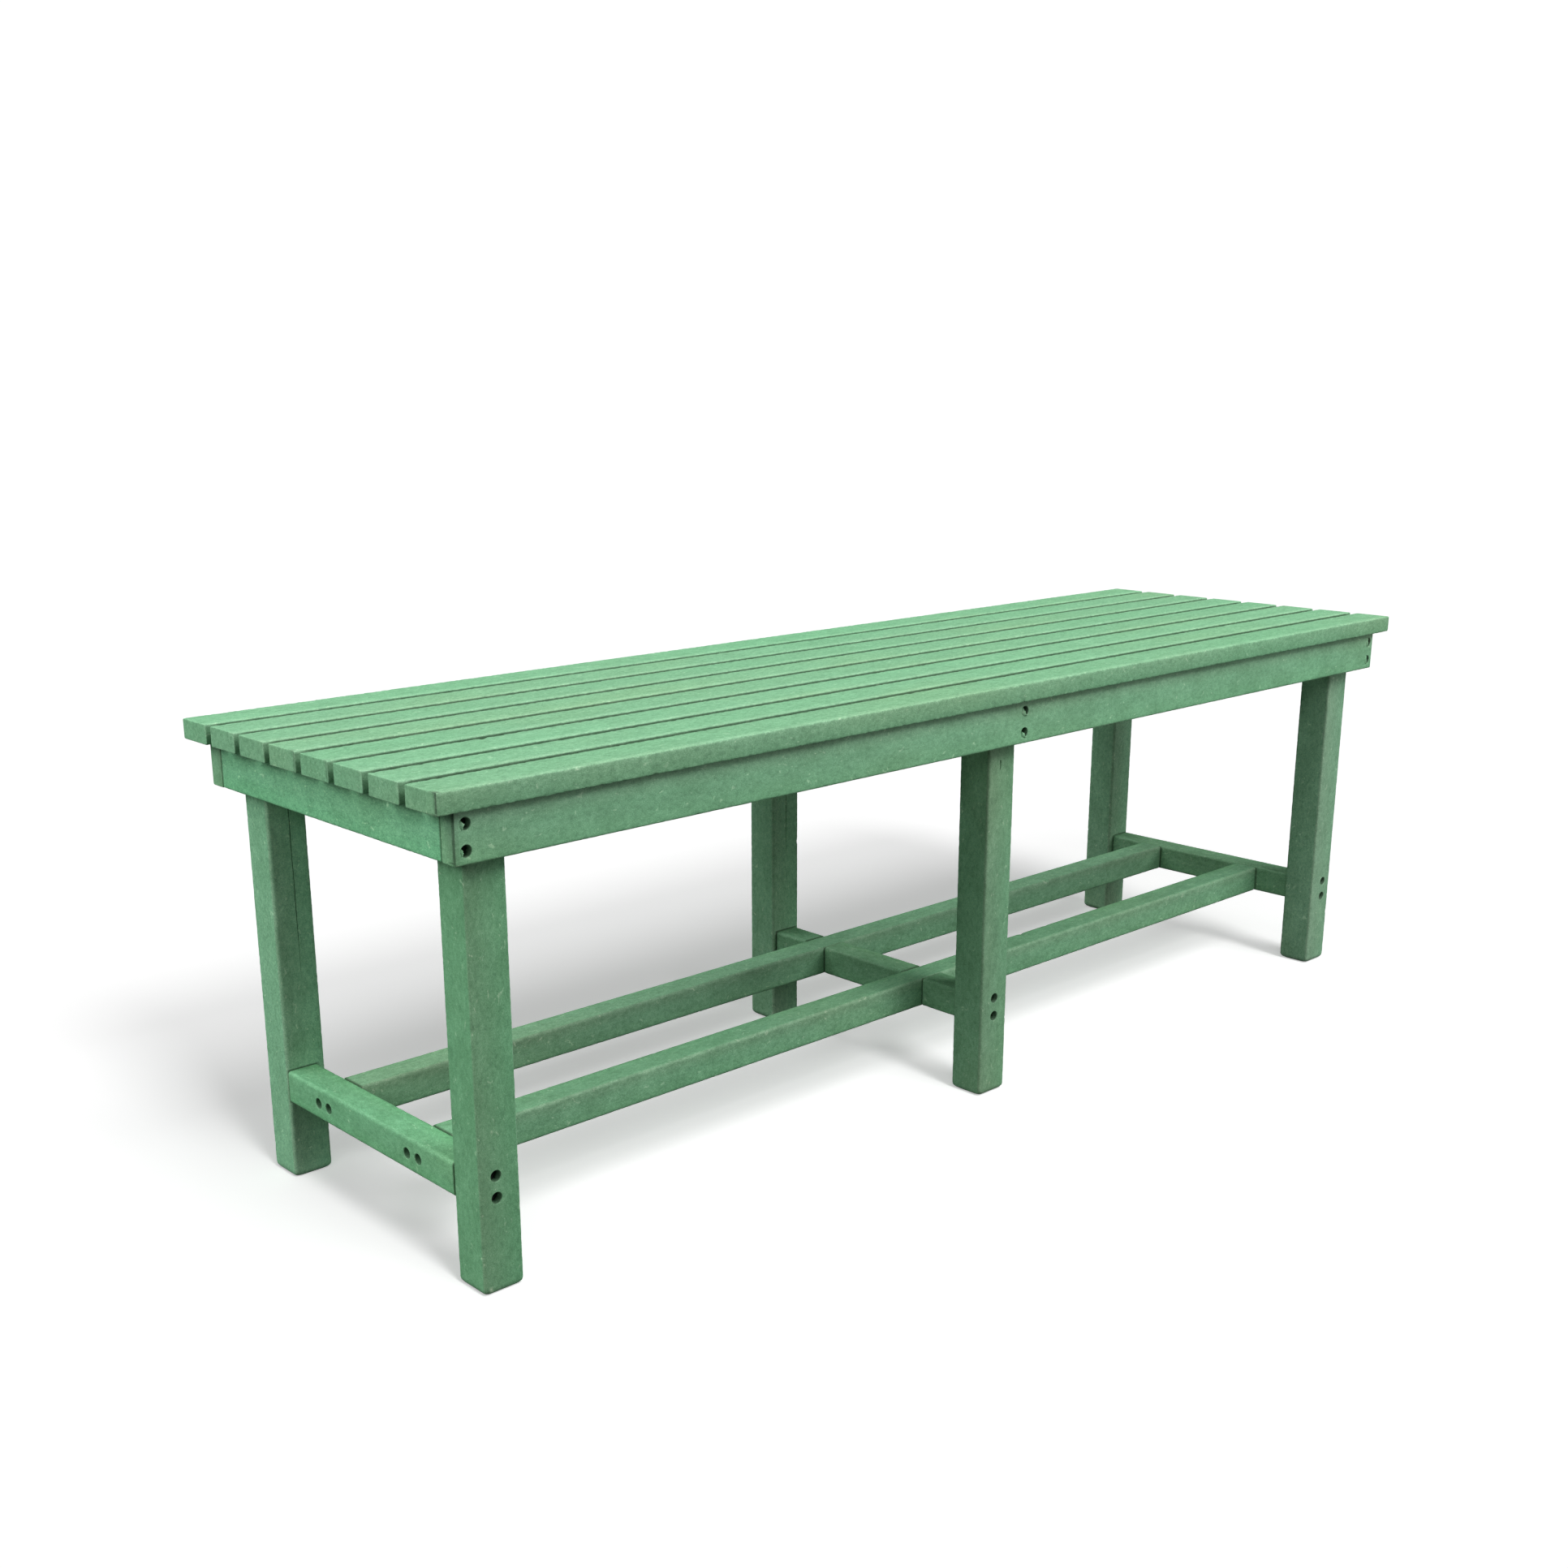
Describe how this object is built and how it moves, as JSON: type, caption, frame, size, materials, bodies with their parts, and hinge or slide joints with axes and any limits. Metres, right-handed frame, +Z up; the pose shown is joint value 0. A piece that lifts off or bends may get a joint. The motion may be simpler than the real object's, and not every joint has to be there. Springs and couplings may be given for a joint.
{
  "type": "backless bench",
  "caption": "Backless street bench: lengthwise slats on a boarded apron frame, square legs in pairs and low stretchers joined in a ladder.",
  "frame": {"origin": "on the floor, under the centre of the bench's outline", "axes": "+X along the bench to its right end as seen from the front, +Y to the rear, +Z up"},
  "size_m": [1.414, 0.42, 0.45],
  "materials": {
    "seat": "moulded recycled plastic, finely mottled",
    "apron": "moulded recycled plastic, finely mottled",
    "leg": "moulded recycled plastic, finely mottled",
    "stretcher": "moulded recycled plastic, finely mottled",
    "screw": "dull zinc plated steel"
  },
  "bodies": {
    "root": {"seat_slat_1": "seat", "seat_slat_2": "seat", "seat_slat_3": "seat", "seat_slat_4": "seat", "seat_slat_5": "seat", "seat_slat_6": "seat", "seat_slat_7": "seat", "seat_slat_8": "seat", "side_apron_rear": "apron", "side_apron_front": "apron", "end_apron_left": "apron", "end_apron_right": "apron", "mid_cross_apron": "apron", "leg_front_left": "leg", "leg_front_mid": "leg", "leg_front_right": "leg", "leg_rear_left": "leg", "leg_rear_mid": "leg", "leg_rear_right": "leg", "end_stretcher_left": "stretcher", "end_stretcher_right": "stretcher", "long_stretcher_rear": "stretcher", "long_stretcher_front": "stretcher", "mid_stretcher_rear": "stretcher", "mid_stretcher_centre": "stretcher", "mid_stretcher_front": "stretcher", "apron_corner_screws": "screw", "apron_mid_screws": "screw", "leg_apron_screws": "screw", "leg_stretcher_screws": "screw", "long_stretcher_screws": "screw", "mid_stretcher_screws": "screw", "slat_screws": "screw"}
  },
  "joints": []
}
